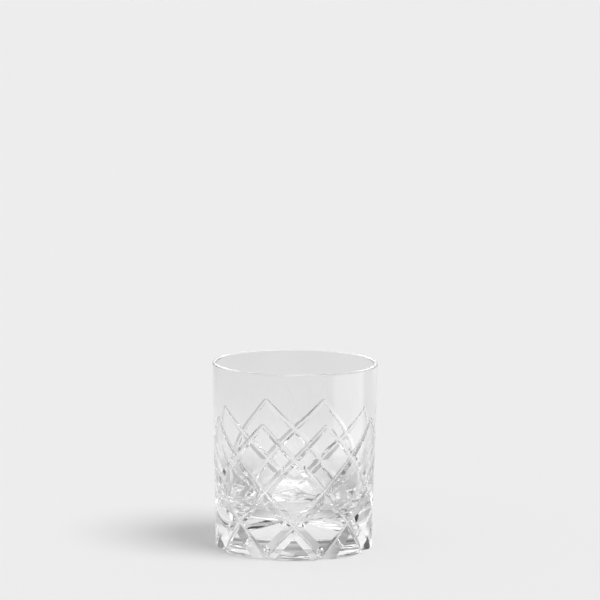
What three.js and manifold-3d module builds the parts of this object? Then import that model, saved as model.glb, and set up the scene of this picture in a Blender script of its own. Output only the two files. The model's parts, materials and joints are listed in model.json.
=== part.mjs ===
// A rocks glass in clear cut crystal. It is one piece of glass: a thick-based tumbler whose wall
// is cut all round with crossing mitre grooves, which leave a lattice of lozenges.
// Units are millimetres, +Z is up, and the origin is the middle of the foot, on the table.
import * as THREE from "three";
import { mergeVertices } from "three/addons/utils/BufferGeometryUtils.js";
import Module from "manifold-3d";

// The outside of the blank
const HEIGHT = 90;
const RIM_DIAMETER = 80;
const FOOT_DIAMETER = 75.8; // where the wall's straight taper meets the table
const FOOT_EDGE = 0.5; // size of the rounding between the wall and the foot

// The inside of the blank
const LIP_THICKNESS = 2;
const WAIST_HEIGHT = 52; // below it the wall thickens towards the floor
const WAIST_CURVE = 18; // how far the change of slope at the waist reaches up and down
const WALL_AT_WAIST = 2;
const WALL_AT_FLOOR = 6.5; // thickness of the wall at the level of the floor
const FLOOR_THICKNESS = 17; // solid glass under the floor
const FLOOR_CURVE_HEIGHT = 12; // where the curve into the floor leaves the wall, above the floor
const FLOOR_CURVE_WIDTH = 12; // how far the curve reaches in over the floor

// The shallow hollow under the foot, which leaves a flat ring to stand on
const HOLLOW_DIAMETER = 52;
const HOLLOW_DEPTH = 0.8;

// The mitre cuts, which climb from the foot in straight slants, as many leaning left as right
const CUTS_EACH_WAY = 8;
const CROSSINGS = 4; // of one cut with those that lean the other way, the one at its peak included
const CUT_TOP = 65; // height of the peaks where two cuts meet
const CUT_ANGLE = 110; // between the two sides of a groove, in degrees
const CUT_DEPTH_AT_FOOT = 3;
const CUT_DEPTH_AT_TOP = 0.75;

// How finely the surface is divided
const SIDES = 64; // around the glass
const CURVE_STEPS = 4; // along each curve of the profile
const CUT_STEPS = 16; // along each cut

// The cutter stands this far proud of the wall, and runs this far on past the foot.
const CUTTER_PROUD = 1;
const CUTTER_OVERRUN = 6;

const footRadius = FOOT_DIAMETER / 2;
const rimRadius = RIM_DIAMETER / 2;
const lipRadius = LIP_THICKNESS / 2;
const lipCentre = new THREE.Vector2(rimRadius - lipRadius, HEIGHT - lipRadius);

const wasm = await Module();
wasm.setup();

// The wall's outside radius at a height: a straight taper from the rim to the foot.
function outerRadius(z) {
  return THREE.MathUtils.mapLinear(z, 0, lipCentre.y, footRadius, rimRadius);
}

// The wall's inside radius at a height: one straight taper from the lip to the waist, and a steeper
// one from there to the floor.
function innerRadius(z) {
  const atFloor = outerRadius(FLOOR_THICKNESS) - WALL_AT_FLOOR;
  const atWaist = outerRadius(WAIST_HEIGHT) - WALL_AT_WAIST;
  if (z < WAIST_HEIGHT) {
    return THREE.MathUtils.mapLinear(z, FLOOR_THICKNESS, WAIST_HEIGHT, atFloor, atWaist);
  }
  return THREE.MathUtils.mapLinear(z, WAIST_HEIGHT, lipCentre.y, atWaist, rimRadius - LIP_THICKNESS);
}

// Half of the blank's section, from the hollow under the foot, up the outside, over the lip and down
// the inside to the middle of the floor. X is the radius and Y the height.
function blankProfile() {
  const hollowRadius = HOLLOW_DIAMETER / 2;
  const curveTop = FLOOR_THICKNESS + FLOOR_CURVE_HEIGHT;
  const waistTop = WAIST_HEIGHT + WAIST_CURVE;
  const waistEnd = Math.max(WAIST_HEIGHT - WAIST_CURVE, curveTop);
  const corner = innerRadius(FLOOR_THICKNESS);
  const profile = new THREE.Path();
  profile.moveTo(0, HOLLOW_DEPTH);
  profile.quadraticCurveTo(hollowRadius / 2, HOLLOW_DEPTH, hollowRadius, 0);
  profile.lineTo(footRadius - FOOT_EDGE, 0);
  profile.quadraticCurveTo(footRadius, 0, outerRadius(FOOT_EDGE), FOOT_EDGE);
  profile.lineTo(rimRadius, lipCentre.y);
  profile.absarc(lipCentre.x, lipCentre.y, lipRadius, 0, Math.PI);
  profile.lineTo(innerRadius(waistTop), waistTop);
  profile.quadraticCurveTo(innerRadius(WAIST_HEIGHT), WAIST_HEIGHT, innerRadius(waistEnd), waistEnd);
  profile.lineTo(innerRadius(curveTop), curveTop);
  profile.quadraticCurveTo(corner, FLOOR_THICKNESS, corner - FLOOR_CURVE_WIDTH, FLOOR_THICKNESS);
  profile.lineTo(0, FLOOR_THICKNESS);
  return profile.getPoints(CURVE_STEPS);
}

// A closed geometry as a solid that can be cut. The triangles that a lathe leaves flat where its
// profile meets the axis are dropped.
function solidOf(geometry) {
  const bare = geometry.clone();
  bare.deleteAttribute("normal");
  bare.deleteAttribute("uv");
  const merged = mergeVertices(bare);
  const corners = merged.index.array;
  const triVerts = [];
  for (let i = 0; i < corners.length; i += 3) {
    const [a, b, c] = corners.slice(i, i + 3);
    if (a !== b && b !== c && c !== a) triVerts.push(a, b, c);
  }
  return new wasm.Manifold(
    new wasm.Mesh({
      numProp: 3,
      vertProperties: merged.attributes.position.array,
      triVerts: new Uint32Array(triVerts),
    }),
  );
}

// A solid as a geometry with flat facets.
function geometryOf(solid) {
  const { vertProperties, triVerts } = solid.getMesh();
  const indexed = new THREE.BufferGeometry();
  indexed.setAttribute("position", new THREE.BufferAttribute(vertProperties, 3));
  indexed.setIndex(new THREE.BufferAttribute(triVerts, 1));
  const faceted = indexed.toNonIndexed();
  faceted.computeVertexNormals();
  return faceted;
}

// The uncut glass: the profile turned about the axis, and stood up along +Z.
function blank() {
  const turned = new THREE.LatheGeometry(blankProfile(), SIDES);
  turned.rotateX(Math.PI / 2);
  return solidOf(turned);
}

// The line that a cut follows on the wall. Share is 0 at the table and 1 at the peak, and lean is 1
// for a cut that climbs anticlockwise as seen from above, or -1.
function cutPoint(start, lean, share) {
  const turn = (CROSSINGS * Math.PI) / CUTS_EACH_WAY;
  const angle = start + lean * turn * share;
  const z = share * CUT_TOP;
  const radius = outerRadius(z);
  return new THREE.Vector3(radius * Math.cos(angle), radius * Math.sin(angle), z);
}

// The V-shaped section of a cutter at one place on its line, as its left shoulder, right shoulder
// and edge. The edge lies in the wall at the cut's depth.
function cutterSection(start, lean, share) {
  const step = 1e-3;
  const here = cutPoint(start, lean, share);
  const along = cutPoint(start, lean, share + step).sub(here).normalize();
  const out = new THREE.Vector3(here.x, here.y, 0).normalize();
  const across = new THREE.Vector3().crossVectors(along, out).normalize();
  const depth = THREE.MathUtils.lerp(CUT_DEPTH_AT_FOOT, CUT_DEPTH_AT_TOP, share);
  const spread = Math.tan(THREE.MathUtils.degToRad(CUT_ANGLE / 2));
  const halfWidth = (depth + CUTTER_PROUD) * spread;
  const above = here.clone().addScaledVector(out, CUTTER_PROUD);
  return {
    left: above.clone().addScaledVector(across, -halfWidth),
    right: above.clone().addScaledVector(across, halfWidth),
    edge: here.clone().addScaledVector(out, -depth),
    tip: above.clone().addScaledVector(along, halfWidth),
  };
}

// The solid that one cut takes out of the wall: V sections lofted along the cut's line, flat where it
// runs out past the foot and pointed where it ends at its peak.
function cutter(start, lean) {
  const first = -CUTTER_OVERRUN / CUT_TOP;
  const sections = [];
  for (let i = 0; i <= CUT_STEPS; i++) {
    sections.push(cutterSection(start, lean, THREE.MathUtils.lerp(first, 1, i / CUT_STEPS)));
  }
  const points = sections.flatMap(({ left, edge, right }) => [left, edge, right]);
  points.push(sections.at(-1).tip);
  const faces = [0, 1, 2];
  for (let i = 0; i < CUT_STEPS; i++) {
    for (let side = 0; side < 3; side++) {
      const a = 3 * i + side;
      const b = 3 * i + ((side + 1) % 3);
      faces.push(a, a + 3, b, b, a + 3, b + 3);
    }
  }
  const last = 3 * CUT_STEPS;
  const tip = last + 3;
  faces.push(last, tip, last + 1, last + 1, tip, last + 2, last + 2, tip, last);
  const loft = new THREE.BufferGeometry().setFromPoints(points);
  loft.setIndex(faces);
  return solidOf(loft);
}

// Every cut starts half a lozenge to one side of the front, which lies along -Y, so that two cuts
// cross on the front.
function cutters() {
  const spacing = (2 * Math.PI) / CUTS_EACH_WAY;
  const all = [];
  for (let i = 0; i < CUTS_EACH_WAY; i++) {
    const start = (i + 0.5) * spacing;
    all.push(cutter(start, 1), cutter(start, -1));
  }
  return all;
}

const crystal = new THREE.MeshStandardMaterial({
  color: 0xf4f6f6,
  roughness: 0.02,
  metalness: 0,
  transparent: true,
  opacity: 0.35,
});

const cut = cutters().reduce((glass, tool) => glass.subtract(tool), blank());
const tumbler = new THREE.Mesh(geometryOf(cut), crystal);
tumbler.name = "tumbler";

const rocksGlass = new THREE.Group();
rocksGlass.add(tumbler);

export default rocksGlass;
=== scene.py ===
"""A rocks glass in clear cut crystal, on a pale studio floor."""

import json
import math

import bmesh
import bpy
from mathutils import Matrix, Vector

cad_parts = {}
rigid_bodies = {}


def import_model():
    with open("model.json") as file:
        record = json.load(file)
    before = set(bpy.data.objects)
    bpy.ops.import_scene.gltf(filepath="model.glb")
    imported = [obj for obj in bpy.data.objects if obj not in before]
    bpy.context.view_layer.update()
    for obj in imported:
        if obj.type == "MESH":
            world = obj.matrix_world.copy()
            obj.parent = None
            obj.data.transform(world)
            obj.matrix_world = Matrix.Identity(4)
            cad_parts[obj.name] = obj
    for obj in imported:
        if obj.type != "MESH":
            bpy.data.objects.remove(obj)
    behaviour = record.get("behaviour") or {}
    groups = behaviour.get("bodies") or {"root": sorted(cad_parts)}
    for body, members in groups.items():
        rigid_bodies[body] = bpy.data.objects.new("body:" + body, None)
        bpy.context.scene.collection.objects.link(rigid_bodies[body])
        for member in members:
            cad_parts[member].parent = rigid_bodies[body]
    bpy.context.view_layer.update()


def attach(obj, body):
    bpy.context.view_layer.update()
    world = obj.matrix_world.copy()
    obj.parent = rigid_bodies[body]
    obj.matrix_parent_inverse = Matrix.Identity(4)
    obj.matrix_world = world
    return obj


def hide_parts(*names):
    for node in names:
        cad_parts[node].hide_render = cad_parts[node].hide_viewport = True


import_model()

MM = 0.001

# The tumbler's section, in millimetres
HEIGHT = 90
RIM_RADIUS = 40
FOOT_RADIUS = 37.9
FOOT_ROUNDING = 0.4
LIP_THICKNESS = 2
LIP_FLAT = 0.001  # half of what the lip's two roundings leave flat between them
FLOOR_HEIGHT = 17
FLOOR_ROUNDING = 12
WALL_AT_FLOOR = 6.5
WALL_AT_WAIST = 2
WAIST_HEIGHT = 52
WAIST_ROUNDING = 18
HOLLOW_RADIUS = 26
HOLLOW_DEPTH = 0.8
HOLLOW_ROUNDING = 12

# How finely the tumbler is divided, with widths in millimetres and angles in degrees
SIDES = 288
WALL_ROWS = 12
HOLLOW_STEPS = 12
FOOT_STEPS = 8
LIP_STEPS = 8
WAIST_STEPS = 12
FLOOR_STEPS = 24
HOLD = 0.2  # width of the narrow row at each end of a straight
FLOOR_HOLD = 0.05  # width of the narrow row round the level floor
MERGE_WITHIN = 0.001  # points of the turned blank that are nearer than this are one
SLIVER = 0.002  # corners that the cutting leaves nearer than this are one
CRISP_ANGLE = 22  # folds sharper than this stay crisp
TRUE_WITHIN = 6  # a facet this near to a cut's true surface is shaded as that surface
FOOT_WITHIN = 45  # faces that look down within this belong to the foot

# The mitre cuts, in millimetres and degrees
CUTS_EACH_WAY = 8
CUT_TURN = 90
CUT_TOP = 65
CUT_ANGLE = 110
CUT_DEPTH_AT_FOOT = 3.0
CUT_DEPTH_AT_TOP = 0.75
CUT_VALLEY_ROUNDING = 0.9
CUT_VALLEY_STEPS = 7
CUT_STEPS = 96
CUTTER_HEIGHT = 3.6
CUTTER_OVERRUN = 4

# The finishes of the tumbler, by the number of their material
WALL_FACES = 0
CUT_FACES = 1
BOWL_FACES = 2
FOOT_FACES = 3
LIP_FACES = 4

# The crystal, with the length and height of its slow waves in millimetres
CRYSTAL_COLOUR = "#FFFFFF"
CRYSTAL_IOR = 1.53
WAVE_DETAIL = 1.0
WAVE_ROUGHNESS = 0.4
WALL_WAVE_LENGTH = 25
WALL_WAVES = 0.01
CUT_WAVE_LENGTH = 10
CUT_WAVES = 0.01
BOWL_WAVE_LENGTH = 12
BOWL_WAVES = 0.7
BOWL_CALM_FROM = 22  # the height at which the bowl's waves start to calm
BOWL_CALM_TO = 48
BOWL_CALM = 0.05  # the share of them that is left above that
FOOT_WAVE_LENGTH = 9
FOOT_WAVES = 0.1
LIP_ROUGHNESS = 0.3
EDGE_ROUNDING = 0.2
EDGE_SAMPLES = 4

# The studio, with the key light's place in degrees from the front and above the floor
PAPER_COLOUR = "#EDEDED"
FLOOR_SIZE = 6  # half of the paper's width, in metres
FLOOR_GAP = 0.05  # between the paper and the foot, in millimetres
AMBIENT = 0.42
KEY_AZIMUTH = 61
KEY_ELEVATION = 61
KEY_SPREAD = 33

# The paper's glow, as a share of its brightness, bare and through the glass
FLOOR_GLOW = 0.3
FLOOR_GLOW_SEEN = 0.8

# A light panel painted as a glow on the paper, which the glass mirrors low down beside it, in degrees from
# the front
PANEL_MIRRORED = 1.6
PANEL_BEARING = 80
PANEL_INNER = 22
PANEL_OUTER = 32

# The paper through the glass, with distances from the glass in metres: it falls off to the backdrop,
# has painted shade close to the foot on both sides, and far off is painted darker to the left and lighter
# to the right, as the key light falls
FALL_START = 0.1
FALL_END = 0.35
BACKDROP_SEEN = 0.74
PAINTED_FLANK_SHADE = 0.45
FLANK_INNER = 0.008
FLANK_OUTER = 0.03
NEAR_START = 0.08
NEAR_END = 0.16
FAR_START = 0.3
FAR_END = 0.8

# What the glass mirrors, in degrees: an even room, a ring of light above and behind, a light overhead
# and the key's softbox
MIRRORED_ROOM = 0.5
BANK_ELEVATION = 62
BANK_HOLLOW_INNER = 24
BANK_HOLLOW_OUTER = 32
BANK_INNER = 40
BANK_OUTER = 52
BANK_MIRRORED = 5
OVERHEAD_ELEVATION = 80
OVERHEAD_INNER = 8
OVERHEAD_OUTER = 16
OVERHEAD_MIRRORED = 4
SOFTBOX_INNER = 14
SOFTBOX_OUTER = 22
SOFTBOX_MIRRORED = 3

# What the glass lets through: tones by the height above the floor in degrees, darker or lighter to the
# sides, and a dark and a light half of the room behind the camera. Reaches are parts of a unit direction.
SEEN_BANDS = ((4, 0.60), (12, 0.36), (28, 0.95))
SEEN_OVERHEAD = 1.1
SEEN_FRONT_LEFT = 0.02
SEEN_FRONT_RIGHT = 1.1
FRONT_EDGE = 0.04
FRONT_REACH = 0.3
SEEN_LEFT = 0.3
SEEN_RIGHT = 0.7
# The far paper through the glass is painted with these tones too: darker to the left and lighter to the
# right, as the key light falls
HORIZON_LEFT = 0.62
HORIZON_RIGHT = 1.3
SIDE_REACH = 0.6
HORIZON_START = 0.05
HORIZON_END = 0.22
SOFTBOX_SEEN = 2

# The camera, fitted to the rim and the foot, in degrees and millimetres. The aim is the middle of the
# glass, and its place in the picture is in pixels.
CAMERA_ELEVATION = 10.86
CAMERA_ROLL = 0.5
CAMERA_DISTANCE = 1500
AIM_HEIGHT = 45
SENSOR_WIDTH = 36
LENS = 185.3
PICTURE_SIZE = 600
AIM_ACROSS = 294.45
AIM_DOWN = 453.14

# Light passes through many faces of cut crystal before it comes out
BOUNCES = 128
MIRROR_BOUNCES = 64


def outer_radius(z):
    """The wall's outside radius at a height: a straight taper."""
    return FOOT_RADIUS + (RIM_RADIUS - FOOT_RADIUS) * z / HEIGHT


def linear(hex_colour):
    """An sRGB hex colour as the linear colour that a socket takes."""
    channels = [int(hex_colour[i : i + 2], 16) / 255 for i in (1, 3, 5)]
    return [c / 12.92 if c <= 0.04045 else ((c + 0.055) / 1.055) ** 2.4 for c in channels] + [1]


def add_node(tree, kind, settings, *sources, **links):
    """Adds a node. Settings give its properties and its sockets, the latter by name or number.

    Sources are linked to its first sockets in order, and links to the sockets that they name.
    """
    node = tree.nodes.new(kind)
    for name, value in settings.items():
        if isinstance(name, int) or name in node.inputs:
            node.inputs[name].default_value = value
        else:
            setattr(node, name, value)
    for socket, source in [*enumerate(sources), *links.items()]:
        tree.links.new(source, node.inputs[socket])
    return node


def to_object(shape, name):
    """A finished bmesh as an object at the origin."""
    mesh = bpy.data.meshes.new(name)
    shape.to_mesh(mesh)
    shape.free()
    piece = bpy.data.objects.new(name, mesh)
    bpy.context.scene.collection.objects.link(piece)
    return piece


def hold_ends(shape):
    """Splits the long edges of a section near their ends, so that smooth shading stays flat between."""
    for edge in shape.edges[:]:
        length = edge.calc_length()
        if length > 4 * HOLD * MM:
            for end in edge.verts[:]:
                side = next(e for e in end.link_edges if e.calc_length() > 2 * HOLD * MM)
                bmesh.utils.edge_split(side, end, HOLD * MM / side.calc_length())


def turned_blank():
    """The uncut tumbler, turned about its axis from half of its section."""
    inside_at_floor = outer_radius(FLOOR_HEIGHT) - WALL_AT_FLOOR
    inside_at_waist = outer_radius(WAIST_HEIGHT) - WALL_AT_WAIST
    level_radius = inside_at_floor - FLOOR_ROUNDING - FLOOR_HOLD
    lip_rounding = LIP_THICKNESS / 2 - LIP_FLAT
    corners = [
        (0, HOLLOW_DEPTH, 0, 0),
        (HOLLOW_RADIUS / 2, HOLLOW_DEPTH, HOLLOW_ROUNDING, HOLLOW_STEPS),
        (HOLLOW_RADIUS, 0, 0, 0),
        (FOOT_RADIUS, 0, FOOT_ROUNDING, FOOT_STEPS),
        (RIM_RADIUS, HEIGHT, lip_rounding, LIP_STEPS),
        (RIM_RADIUS - LIP_THICKNESS, HEIGHT, lip_rounding, LIP_STEPS),
        (inside_at_waist, WAIST_HEIGHT, WAIST_ROUNDING, WAIST_STEPS),
        (inside_at_floor, FLOOR_HEIGHT, FLOOR_ROUNDING, FLOOR_STEPS),
        (level_radius, FLOOR_HEIGHT, 0, 0),
        (0, FLOOR_HEIGHT, 0, 0),
    ]
    shape = bmesh.new()
    points = [shape.verts.new((r * MM, 0, z * MM)) for r, z, _, _ in corners]
    for low, high in zip(points, points[1:]):
        shape.edges.new((low, high))
    for point, (_, _, rounding, steps) in zip(points, corners):
        if rounding:
            bmesh.ops.bevel(
                shape,
                geom=[point],
                offset=rounding * MM,
                affect="VERTICES",
                segments=steps,
                profile=0.5,
                material=-1,
            )
    hold_ends(shape)
    wall = max(shape.edges, key=lambda edge: edge.calc_length())
    bmesh.ops.subdivide_edges(shape, edges=[wall], cuts=WALL_ROWS)
    bmesh.ops.spin(
        shape,
        geom=shape.verts[:] + shape.edges[:],
        cent=(0, 0, 0),
        axis=(0, 0, 1),
        angle=math.tau,
        steps=SIDES,
        use_merge=True,
    )
    bmesh.ops.remove_doubles(shape, verts=shape.verts, dist=MERGE_WITHIN * MM)
    bmesh.ops.recalc_face_normals(shape, faces=shape.faces)
    for face in shape.faces:
        middle = face.calc_center_median() / MM
        if face.normal.z < -math.cos(math.radians(FOOT_WITHIN)):
            face.material_index = FOOT_FACES
        elif middle.z > HEIGHT - LIP_THICKNESS / 2:
            face.material_index = LIP_FACES
        elif middle.xy.length < outer_radius(middle.z) - LIP_THICKNESS / 2:
            face.material_index = BOWL_FACES
        else:
            face.material_index = WALL_FACES
    return to_object(shape, "blank")


def cutter(start, lean):
    """The solid that one cut takes out: a V swept up the wall in a slant, with a pointed end."""
    turn = math.radians(CUT_TURN)
    slope = math.atan2(CUT_TOP, lean * turn * outer_radius(CUT_TOP / 2))
    half_width = CUTTER_HEIGHT * math.tan(math.radians(CUT_ANGLE / 2))
    shape = bmesh.new()
    section = [
        shape.verts.new(Vector(corner) * MM)
        for corner in ((0, 0, 0), (CUTTER_HEIGHT, half_width, 0), (CUTTER_HEIGHT, -half_width, 0))
    ]
    valley = section[0]
    shape.faces.new(section)
    bmesh.ops.bevel(
        shape,
        geom=[valley],
        offset=CUT_VALLEY_ROUNDING * MM,
        affect="VERTICES",
        segments=CUT_VALLEY_STEPS,
        profile=0.5,
        material=-1,
    )
    share = CUTTER_OVERRUN / CUT_TOP
    place = (
        Matrix.Rotation(start - lean * turn * share, 4, "Z")
        @ Matrix.Translation((outer_radius(0) * MM, 0, -CUTTER_OVERRUN * MM))
        @ Matrix.Rotation(slope - math.pi / 2, 4, "X")
    )
    bmesh.ops.transform(shape, matrix=place, verts=shape.verts)
    swept = bmesh.ops.spin(
        shape,
        geom=shape.verts[:] + shape.edges[:] + shape.faces[:],
        cent=(0, 0, 0),
        axis=(0, 0, 1),
        dvec=(0, 0, CUT_TOP * (1 + share) * MM / CUT_STEPS),
        angle=lean * turn * (1 + share),
        steps=CUT_STEPS,
    )
    end = next(f for f in swept["geom_last"] if isinstance(f, bmesh.types.BMFace))
    peak_angle = start + lean * turn
    along = Vector((-math.sin(peak_angle), math.cos(peak_angle), 0)) * math.cos(slope)
    along.z = math.sin(slope)
    outward = Vector((math.cos(peak_angle), math.sin(peak_angle), 0))
    tip = bmesh.ops.poke(shape, faces=[end])["verts"][0]
    tip.co = outward * (outer_radius(CUT_TOP) + CUTTER_HEIGHT) * MM
    tip.co.z = CUT_TOP * MM
    tip.co += along * half_width * MM
    for vert in shape.verts:
        share = max(vert.co.z / MM / CUT_TOP, 0)
        depth = CUT_DEPTH_AT_FOOT + (CUT_DEPTH_AT_TOP - CUT_DEPTH_AT_FOOT) * share
        radius = vert.co.xy.length
        shift = (outer_radius(vert.co.z / MM) - outer_radius(0) - depth) * MM
        vert.co.xy *= (radius + shift) / radius
    bmesh.ops.recalc_face_normals(shape, faces=shape.faces)
    for face in shape.faces:
        face.material_index = CUT_FACES
    return to_object(shape, "cutter")


def cut_tumbler(finishes):
    """The blank with every mitre cut taken out of it."""
    blank = turned_blank()
    tools = bpy.data.collections.new("cutters")
    for i in range(CUTS_EACH_WAY):
        start = math.tau * (i + 0.5) / CUTS_EACH_WAY
        tools.objects.link(cutter(start, 1))
        tools.objects.link(cutter(start, -1))
    for piece in [blank, *tools.objects]:
        for finish in finishes:
            piece.data.materials.append(finish)
    cut = blank.modifiers.new("mitre_cuts", "BOOLEAN")
    cut.operation = "DIFFERENCE"
    cut.solver = "MANIFOLD"
    cut.operand_type = "COLLECTION"
    cut.collection = tools
    graph = bpy.context.evaluated_depsgraph_get()
    mesh = bpy.data.meshes.new_from_object(blank.evaluated_get(graph))
    for spare in [blank, *tools.objects]:
        bpy.data.objects.remove(spare)
    bpy.data.collections.remove(tools)
    clean = bmesh.new()
    clean.from_mesh(mesh)
    bmesh.ops.remove_doubles(clean, verts=clean.verts, dist=SLIVER * MM)
    clean.to_mesh(mesh)
    clean.free()
    mesh.polygons.foreach_set("use_smooth", [True] * len(mesh.polygons))
    mesh.set_sharp_from_angle(angle=math.radians(CRISP_ANGLE))
    true_normals(mesh)
    tumbler = bpy.data.objects.new("cut_tumbler", mesh)
    bpy.context.scene.collection.objects.link(tumbler)
    return tumbler


def cut_normal(spot, lean, side=None):
    """The direction that a cut faces at a spot, and which of its sides that is, or 0 for its bottom."""
    turn = lean * math.radians(CUT_TURN) / (CUT_TOP * MM)
    slope = math.atan2(CUT_TOP, lean * math.radians(CUT_TURN) * outer_radius(CUT_TOP / 2))
    spacing = math.tau / CUTS_EACH_WAY
    ahead = math.atan2(spot.y, spot.x) - turn * spot.z - spacing / 2
    ahead = (ahead + spacing / 2) % spacing - spacing / 2
    aside = ahead / (math.sin(slope) / spot.xy.length + turn * math.cos(slope))
    half = math.radians(CUT_ANGLE / 2)
    valley = CUT_VALLEY_ROUNDING * MM * math.sin(half)
    tilt = min(max(aside / valley, -1), 1)
    if side is None:
        side = math.trunc(tilt)
    sideways = (side or tilt) * math.cos(half)
    angle = math.atan2(spot.y, spot.x) - aside * math.sin(slope) / spot.xy.length
    outward = Vector((math.cos(angle), math.sin(angle), 0))
    across = Vector((-math.sin(angle), math.cos(angle), 0)) * math.sin(slope)
    across.z = -math.cos(slope)
    normal = outward * math.sqrt(1 - sideways**2) - across * sideways
    taper = (CUT_DEPTH_AT_FOOT - CUT_DEPTH_AT_TOP) / CUT_TOP
    rise = (RIM_RADIUS - FOOT_RADIUS) / HEIGHT + taper
    normal.z -= rise * math.sin(half)
    return normal.normalized(), side


def true_normals(mesh):
    """Shades the wall as a true cone and the cuts as true V's, without the cut mesh's unevenness."""
    rise = math.atan2(RIM_RADIUS - FOOT_RADIUS, HEIGHT)
    normals = []
    for face in mesh.polygons:
        middle = face.center
        spots = [mesh.vertices[corner].co for corner in face.vertices]
        outside = middle.xy.length > (outer_radius(middle.z / MM) - HOLD) * MM
        straight = FOOT_ROUNDING * MM < middle.z < (HEIGHT - LIP_THICKNESS / 2) * MM
        faced = [Vector()] * len(spots)
        if face.material_index == CUT_FACES:
            ways = [(cut_normal(middle, lean), lean) for lean in (1, -1)]
            (normal, side), lean = max(ways, key=lambda way: way[0][0].dot(face.normal))
            if normal.angle(face.normal) < math.radians(TRUE_WITHIN):
                faced = [cut_normal(spot, lean, side)[0] for spot in spots]
        elif outside and straight:
            away = [Vector((spot.x, spot.y, 0)).normalized() for spot in spots]
            faced = [way * math.cos(rise) - Vector((0, 0, math.sin(rise))) for way in away]
        normals += faced
    mesh.normals_split_custom_set(normals)


def crystal(name, wave_length, wave_height, calm_from=None, calm_to=None, roughness=0.0):
    """Clear crystal whose surface swells in slow waves, in millimetres, calmer towards a height."""
    material = bpy.data.materials.new(name)
    material.use_nodes = True
    tree = material.node_tree
    tree.nodes.clear()
    place = add_node(tree, "ShaderNodeTexCoord", {})
    waves = add_node(
        tree,
        "ShaderNodeTexNoise",
        {"Scale": 1 / (wave_length * MM), "Detail": WAVE_DETAIL, "Roughness": WAVE_ROUGHNESS},
        place.outputs["Object"],
    )
    swell = waves.outputs["Fac"]
    if calm_to:
        height = add_node(tree, "ShaderNodeSeparateXYZ", {}, place.outputs["Object"])
        calm = add_node(
            tree,
            "ShaderNodeMapRange",
            {"From Min": calm_from * MM, "From Max": calm_to * MM, "To Min": 1.0, "To Max": BOWL_CALM},
            height.outputs["Z"],
        )
        calmed = add_node(tree, "ShaderNodeMath", {"operation": "MULTIPLY"}, swell, calm.outputs["Result"])
        swell = calmed.outputs[0]
    soft = add_node(tree, "ShaderNodeBevel", {"samples": EDGE_SAMPLES, "Radius": EDGE_ROUNDING * MM})
    bump = add_node(
        tree,
        "ShaderNodeBump",
        {"Strength": 1.0, "Distance": wave_height * MM},
        Height=swell,
        Normal=soft.outputs["Normal"],
    )
    shader = add_node(
        tree,
        "ShaderNodeBsdfPrincipled",
        {
            "Base Color": linear(CRYSTAL_COLOUR),
            "Roughness": roughness,
            "IOR": CRYSTAL_IOR,
            "Transmission Weight": 1.0,
        },
        Normal=bump.outputs["Normal"],
    )
    add_node(tree, "ShaderNodeOutputMaterial", {}, shader.outputs[0])
    return material


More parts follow.
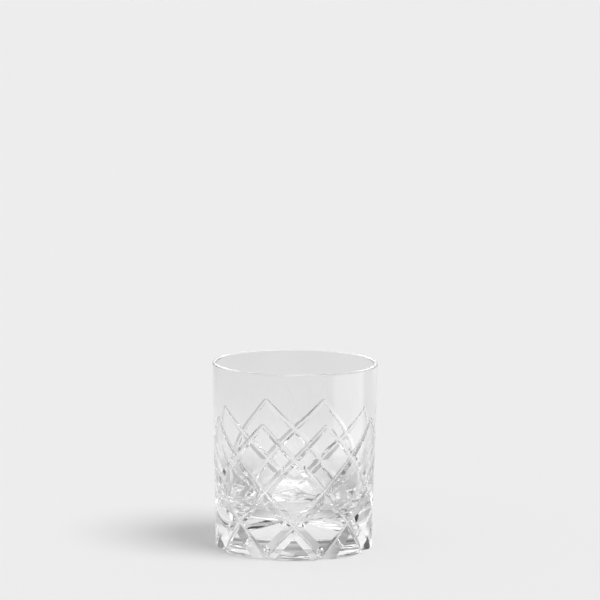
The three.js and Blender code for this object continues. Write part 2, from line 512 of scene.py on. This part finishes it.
def paper():
    """Matt white paper: an even pale ground with the glass's shadow on it.

    Through the glass it falls off behind, as a backdrop does, with painted shade beside the foot and
    painted light and shade far to the sides, and mirrored it holds a painted light panel.
    """
    material = bpy.data.materials.new("studio_paper")
    material.use_nodes = True
    tree = material.node_tree
    tree.nodes.clear()
    pale = linear(PAPER_COLOUR)
    path = add_node(tree, "ShaderNodeLightPath", {})
    position = add_node(tree, "ShaderNodeNewGeometry", {}).outputs["Position"]
    spot = add_node(tree, "ShaderNodeSeparateXYZ", {}, position)
    distance = add_node(tree, "ShaderNodeVectorMath", {"operation": "LENGTH"}, position)
    towards = add_node(tree, "ShaderNodeVectorMath", {"operation": "NORMALIZE"}, position)
    ways = add_node(tree, "ShaderNodeSeparateXYZ", {}, towards.outputs["Vector"])

    # Through the glass: the fall behind it, painted light and shade on the far sides and painted shade
    # beside the foot
    off_axis = add_node(tree, "ShaderNodeMath", {"operation": "ABSOLUTE"}, spot.outputs["X"])
    ramps = []
    for value, start, end, low, high in (
        (distance.outputs["Value"], FALL_START, FALL_END, 1.0, BACKDROP_SEEN / pale[0]),
        (distance.outputs["Value"], FAR_START, FAR_END, 0.0, 1.0),
        (ways.outputs["X"], -SIDE_REACH, SIDE_REACH, HORIZON_LEFT, HORIZON_RIGHT),
        (distance.outputs["Value"], NEAR_END, NEAR_START, 0.0, PAINTED_FLANK_SHADE),
        (off_axis.outputs[0], FLANK_INNER, FLANK_OUTER, 0.0, 1.0),
    ):
        ramp = add_node(
            tree,
            "ShaderNodeMapRange",
            {
                "interpolation_type": "SMOOTHSTEP",
                "From Min": start,
                "From Max": end,
                "To Min": low,
                "To Max": high,
            },
            value,
        )
        ramps.append(ramp.outputs["Result"])
    fall, far, side_share, near, flank = ramps
    # Far off, painted light and shade: the paper darker to the left and lighter to the right
    far_side = add_node(tree, "ShaderNodeMix", {"data_type": "FLOAT", "A": 1.0}, Factor=far, B=side_share)
    # Painted shade: the paper darkens close to the foot, off to both sides
    painted_shade = add_node(tree, "ShaderNodeMath", {"operation": "MULTIPLY"}, near, flank)
    unshaded = add_node(tree, "ShaderNodeMath", {"operation": "SUBTRACT", 0: 1.0})
    tree.links.new(painted_shade.outputs[0], unshaded.inputs[1])
    behind = fall
    for tone in (unshaded.outputs[0], far_side.outputs["Result"]):
        behind = add_node(tree, "ShaderNodeMath", {"operation": "MULTIPLY"}, behind, tone).outputs[0]
    through = add_node(
        tree,
        "ShaderNodeMix",
        {"data_type": "FLOAT", "A": 1.0},
        Factor=path.outputs["Is Transmission Ray"],
        B=behind,
    )

    # Part of that brightness glows and the rest is lit, so that the shadow stays light
    share = add_node(
        tree,
        "ShaderNodeMix",
        {"data_type": "FLOAT", "A": FLOOR_GLOW, "B": FLOOR_GLOW_SEEN},
        Factor=path.outputs["Is Transmission Ray"],
    )
    whole = through.outputs["Result"]
    glow = add_node(tree, "ShaderNodeMath", {"operation": "MULTIPLY"}, share.outputs["Result"], whole)
    rest = add_node(tree, "ShaderNodeMath", {"operation": "SUBTRACT"}, whole, glow.outputs[0])
    lit = add_node(tree, "ShaderNodeVectorMath", {"operation": "SCALE", 0: pale[:3]}, Scale=rest.outputs[0])
    diffuse = add_node(tree, "ShaderNodeBsdfDiffuse", {}, lit.outputs["Vector"])
    shine = add_node(tree, "ShaderNodeEmission", {"Color": pale}, Strength=glow.outputs[0])
    in_view = add_node(tree, "ShaderNodeAddShader", {}, diffuse.outputs[0], shine.outputs[0])

    # Mirrored in the glass: the paper with a light panel painted as a glow on it, to the side of the glass
    forward = add_node(tree, "ShaderNodeMath", {"operation": "MULTIPLY", 1: -1}, spot.outputs["Y"])
    bearing = add_node(
        tree, "ShaderNodeMath", {"operation": "ARCTAN2"}, spot.outputs["X"], forward.outputs[0]
    )
    aside = add_node(
        tree,
        "ShaderNodeMath",
        {"operation": "SUBTRACT", 1: math.radians(PANEL_BEARING)},
        bearing.outputs[0],
    )
    spread = add_node(tree, "ShaderNodeMath", {"operation": "ABSOLUTE"}, aside.outputs[0])
    panel = add_node(
        tree,
        "ShaderNodeMapRange",
        {
            "interpolation_type": "SMOOTHSTEP",
            "From Min": math.radians(PANEL_OUTER),
            "From Max": math.radians(PANEL_INNER),
            "To Min": 1.0,
            "To Max": 1.0 + PANEL_MIRRORED,
        },
        spread.outputs[0],
    )
    mirrored = add_node(tree, "ShaderNodeEmission", {"Color": pale}, Strength=panel.outputs["Result"])

    plain = add_node(tree, "ShaderNodeBsdfDiffuse", {"Color": pale})
    seen = add_node(
        tree,
        "ShaderNodeMath",
        {"operation": "MAXIMUM"},
        path.outputs["Is Camera Ray"],
        path.outputs["Is Transmission Ray"],
    )
    look = plain
    for flag, view in ((path.outputs["Is Glossy Ray"], mirrored), (seen.outputs[0], in_view)):
        look = add_node(tree, "ShaderNodeMixShader", {}, flag, look.outputs[0], view.outputs[0])
    add_node(tree, "ShaderNodeOutputMaterial", {}, look.outputs[0])
    return material


def key_direction():
    """From the glass towards the key light."""
    azimuth = math.radians(KEY_AZIMUTH)
    elevation = math.radians(KEY_ELEVATION)
    level = math.cos(elevation)
    return Vector((math.sin(azimuth) * level, -math.cos(azimuth) * level, math.sin(elevation)))


def behind_direction(degrees):
    """From the glass towards a height above the floor behind it."""
    level = math.radians(degrees)
    return Vector((0, math.cos(level), math.sin(level)))


def surroundings():
    """The room: flat and pale to the camera, even for the floor's light, and a studio to the glass."""
    world = bpy.data.worlds.new("studio")
    bpy.context.scene.world = world
    world.use_nodes = True
    tree = world.node_tree
    tree.nodes.clear()
    pale = linear(PAPER_COLOUR)
    path = add_node(tree, "ShaderNodeLightPath", {})
    direction = add_node(tree, "ShaderNodeTexCoord", {}).outputs["Generated"]
    ways = add_node(tree, "ShaderNodeSeparateXYZ", {}, direction)

    # The lights, as soft round patches
    bank_direction = behind_direction(BANK_ELEVATION)
    patches = []
    for middle, inner, outer, strength in (
        (key_direction(), SOFTBOX_INNER, SOFTBOX_OUTER, SOFTBOX_SEEN),
        (key_direction(), SOFTBOX_INNER, SOFTBOX_OUTER, SOFTBOX_MIRRORED),
        (bank_direction, BANK_INNER, BANK_OUTER, BANK_MIRRORED),
        (bank_direction, BANK_HOLLOW_INNER, BANK_HOLLOW_OUTER, -BANK_MIRRORED),
        (behind_direction(OVERHEAD_ELEVATION), OVERHEAD_INNER, OVERHEAD_OUTER, OVERHEAD_MIRRORED),
    ):
        towards = add_node(tree, "ShaderNodeVectorMath", {"operation": "DOT_PRODUCT", 1: middle}, direction)
        patch = add_node(
            tree,
            "ShaderNodeMapRange",
            {
                "interpolation_type": "SMOOTHSTEP",
                "From Min": math.cos(math.radians(outer)),
                "From Max": math.cos(math.radians(inner)),
                "To Min": 0.0,
                "To Max": strength,
            },
            towards.outputs["Value"],
        )
        patches.append(patch.outputs["Result"])
    softbox_seen, softbox, *lamps = patches
    mirrored = add_node(tree, "ShaderNodeMath", {"operation": "ADD", 1: MIRRORED_ROOM}, softbox)
    for lamp in lamps:
        mirrored = add_node(tree, "ShaderNodeMath", {"operation": "ADD"}, mirrored.outputs[0], lamp)

    # The room through the glass: bands of tone by height, and their shares to the sides
    bands = add_node(tree, "ShaderNodeValToRGB", {}, ways.outputs["Z"])
    ramp = bands.color_ramp
    ramp.interpolation = "EASE"
    ramp.elements[0].color = [BACKDROP_SEEN] * 3 + [1]
    ramp.elements[1].color = [SEEN_OVERHEAD] * 3 + [1]
    for degrees, brightness in SEEN_BANDS:
        stop = ramp.elements.new(math.sin(math.radians(degrees)))
        stop.color = [brightness] * 3 + [1]
    shares = []
    for axis, start, end, low, high in (
        ("X", -SIDE_REACH, 0.0, SEEN_LEFT, 1.0),
        ("X", 0.0, SIDE_REACH, 1.0, SEEN_RIGHT),
        ("X", -SIDE_REACH, SIDE_REACH, HORIZON_LEFT, HORIZON_RIGHT),
        ("Z", HORIZON_START, HORIZON_END, 0.0, 1.0),
        ("X", -FRONT_EDGE, FRONT_EDGE, SEEN_FRONT_LEFT, SEEN_FRONT_RIGHT),
        ("Y", 0.0, -FRONT_REACH, 0.0, 1.0),
    ):
        share = add_node(
            tree,
            "ShaderNodeMapRange",
            {
                "interpolation_type": "SMOOTHSTEP",
                "From Min": start,
                "From Max": end,
                "To Min": low,
                "To Max": high,
            },
            ways.outputs[axis],
        )
        shares.append(share.outputs["Result"])
    left_share, right_share, horizon_share, rise, front_tone, towards_camera = shares
    side_share = add_node(tree, "ShaderNodeMath", {"operation": "MULTIPLY"}, left_share, right_share)
    sided = add_node(
        tree,
        "ShaderNodeMix",
        {"data_type": "FLOAT"},
        Factor=rise,
        A=horizon_share,
        B=side_share.outputs[0],
    )
    sides = add_node(
        tree,
        "ShaderNodeVectorMath",
        {"operation": "SCALE"},
        bands.outputs["Color"],
        Scale=sided.outputs["Result"],
    )

    # The half of the room behind the camera, by the numbers of the Mix node's colour sockets
    front = add_node(tree, "ShaderNodeMix", {"data_type": "RGBA"}, towards_camera)
    tree.links.new(sides.outputs["Vector"], front.inputs[6])
    tree.links.new(front_tone, front.inputs[7])
    seen = add_node(tree, "ShaderNodeVectorMath", {"operation": "ADD"}, front.outputs[2], softbox_seen)

    light = add_node(tree, "ShaderNodeBackground", {"Color": [AMBIENT] * 3 + [1]})
    reflected = add_node(tree, "ShaderNodeBackground", {}, mirrored.outputs[0])
    refracted = add_node(tree, "ShaderNodeBackground", {}, seen.outputs["Vector"])
    backdrop = add_node(tree, "ShaderNodeBackground", {"Color": pale})
    for flag, view in (
        ("Is Glossy Ray", reflected),
        ("Is Transmission Ray", refracted),
        ("Is Camera Ray", backdrop),
    ):
        light = add_node(
            tree, "ShaderNodeMixShader", {}, path.outputs[flag], light.outputs[0], view.outputs[0]
        )
    add_node(tree, "ShaderNodeOutputWorld", {}, light.outputs[0])


def studio():
    """The paper floor, the key light and the room."""
    floor_shape = bmesh.new()
    bmesh.ops.create_grid(floor_shape, x_segments=1, y_segments=1, size=FLOOR_SIZE)
    bmesh.ops.translate(floor_shape, vec=(0, 0, -FLOOR_GAP * MM), verts=floor_shape.verts)
    floor = to_object(floor_shape, "floor")
    floor.data.materials.append(paper())
    key = bpy.data.lights.new("key", "SUN")
    key.angle = math.radians(KEY_SPREAD)
    key.energy = (1 - AMBIENT) * math.pi / math.sin(math.radians(KEY_ELEVATION))
    lamp = bpy.data.objects.new("key", key)
    lamp.rotation_euler = key_direction().to_track_quat("Z", "Y").to_euler()
    lamp.visible_glossy = False
    lamp.visible_transmission = False
    bpy.context.scene.collection.objects.link(lamp)
    surroundings()


def photographer():
    """The camera at the photograph's angle, turned so that the glass lies low in the picture."""
    elevation = math.radians(CAMERA_ELEVATION)
    back = Vector((0, -math.cos(elevation), math.sin(elevation)))
    camera = bpy.data.cameras.new("camera")
    camera.sensor_width = SENSOR_WIDTH
    camera.lens = LENS
    eye = bpy.data.objects.new("camera", camera)
    focal = LENS / SENSOR_WIDTH * PICTURE_SIZE
    pitch = math.atan((AIM_DOWN - PICTURE_SIZE / 2) / focal)
    yaw = math.atan((AIM_ACROSS - PICTURE_SIZE / 2) / focal)
    turn = (
        (-back).to_track_quat("-Z", "Y").to_matrix().to_4x4()
        @ Matrix.Rotation(math.radians(CAMERA_ROLL), 4, "Z")
        @ Matrix.Rotation(yaw, 4, "Y")
        @ Matrix.Rotation(pitch, 4, "X")
    )
    aim = Vector((0, 0, AIM_HEIGHT * MM))
    eye.matrix_world = Matrix.Translation(aim + back * (CAMERA_DISTANCE * MM)) @ turn
    bpy.context.scene.collection.objects.link(eye)
    bpy.context.scene.camera = eye


finishes = [
    # The outside: flame-smooth, so what is behind it shows undistorted and its edges mirror the room
    crystal("fire_polished_crystal", WALL_WAVE_LENGTH, WALL_WAVES),
    # The grooves: flat polished planes, each with one clear tone that breaks at its edges
    crystal("wheel_cut_crystal", CUT_WAVE_LENGTH, CUT_WAVES),
    # The inside: pressed by a mould, with slow waves round the floor that streak what shows through
    crystal("pressed_crystal", BOWL_WAVE_LENGTH, BOWL_WAVES, BOWL_CALM_FROM, BOWL_CALM_TO),
    # The foot: ground level and polished, a little uneven, so the paper under it swims slightly
    crystal("ground_crystal", FOOT_WAVE_LENGTH, FOOT_WAVES),
    # The lip: melted round, and softer than real so that it draws one even line of light
    crystal("melted_crystal", WALL_WAVE_LENGTH, WALL_WAVES, roughness=LIP_ROUGHNESS),
]
tumbler = cut_tumbler(finishes)
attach(tumbler, "root")
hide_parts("tumbler")
studio()
photographer()
scene = bpy.context.scene
scene.view_settings.view_transform = "Standard"
scene.cycles.max_bounces = BOUNCES
scene.cycles.transmission_bounces = BOUNCES
scene.cycles.glossy_bounces = MIRROR_BOUNCES
